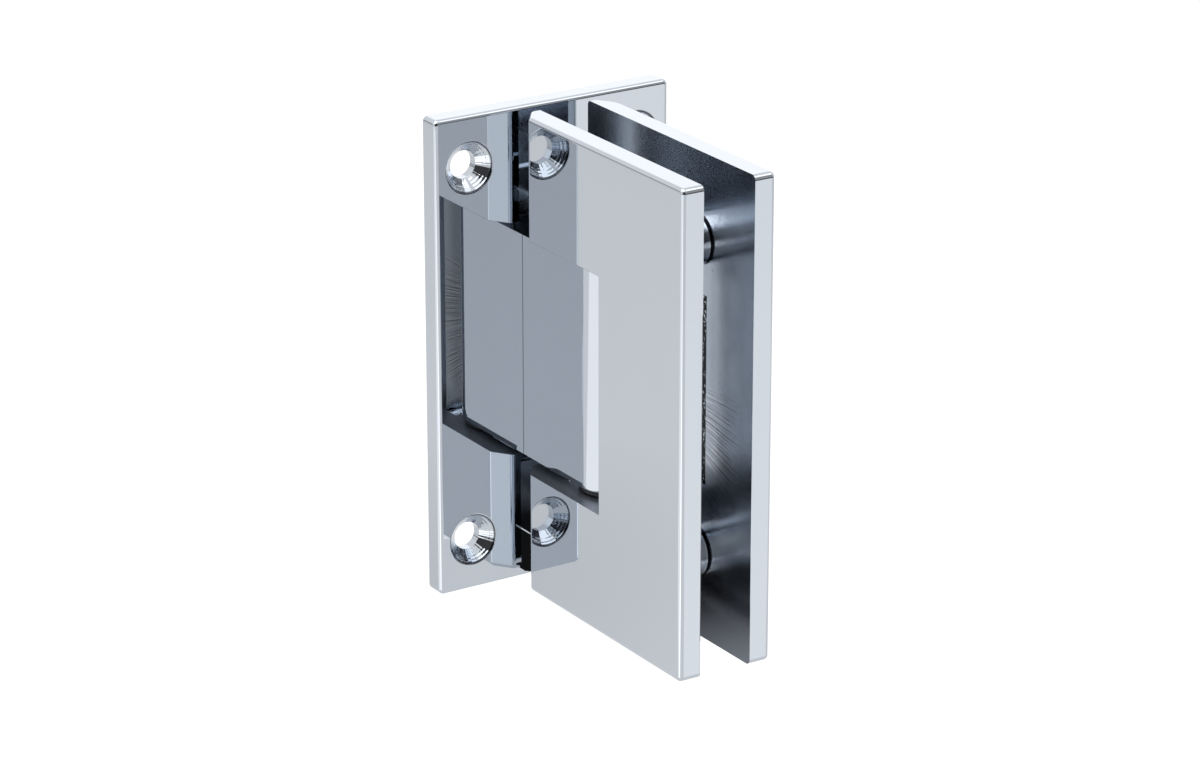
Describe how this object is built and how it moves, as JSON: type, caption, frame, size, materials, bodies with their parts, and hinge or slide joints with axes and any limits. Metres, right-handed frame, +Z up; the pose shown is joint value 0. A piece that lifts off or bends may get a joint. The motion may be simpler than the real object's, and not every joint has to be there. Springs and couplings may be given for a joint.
{
  "type": "wall-mount shower hinge",
  "caption": "Wall-mount glass door hinge: rectangular wall plate with a pivot block, and flat plates that clamp the glass and swing about a vertical pin.",
  "frame": {"origin": "centre of the wall plate's back face, which lies on the wall", "axes": "+Z up along the pivot axis, +Y into the wall, so the hinge stands out towards -Y; the front clamp plate is on the -X side"},
  "size_m": [0.049, 0.0599, 0.09],
  "materials": {
    "polished_chrome": "mirror-polished chrome plate on brass",
    "screw_steel": "turned stainless steel",
    "hardened_steel": "ground hardened steel",
    "bush_brass": "turned brass",
    "washer_plastic": "dark moulded acetal"
  },
  "bodies": {
    "wall_side": {"wall_plate": "polished_chrome", "pivot_block": "polished_chrome", "block_screw_lower": "screw_steel", "block_screw_upper": "screw_steel", "bush_lower": "bush_brass", "bush_upper": "bush_brass", "follower_lower": "hardened_steel", "follower_upper": "hardened_steel", "roller_lower": "hardened_steel", "roller_pin_lower": "hardened_steel", "roller_pin_upper": "hardened_steel", "roller_upper": "hardened_steel", "spring_lower": "hardened_steel", "spring_screw_lower": "screw_steel", "spring_screw_upper": "screw_steel", "spring_upper": "hardened_steel", "thrust_washer_lower": "washer_plastic", "thrust_washer_upper": "washer_plastic"},
    "door_side": {"pivot_pin": "hardened_steel", "front_clamp_plate": "polished_chrome", "rear_clamp_plate": "polished_chrome", "clamp_screw_upper": "screw_steel", "clamp_screw_lower": "screw_steel", "pin_set_screw_upper": "screw_steel", "pin_set_screw_lower": "screw_steel"}
  },
  "joints": [
    {"name": "door_swing", "type": "hinge", "parent": "wall_side", "child": "door_side", "pos_m": [0, -0.0239, 0], "axis": [0, 0, 1], "range_deg": [-90, 90]}
  ]
}
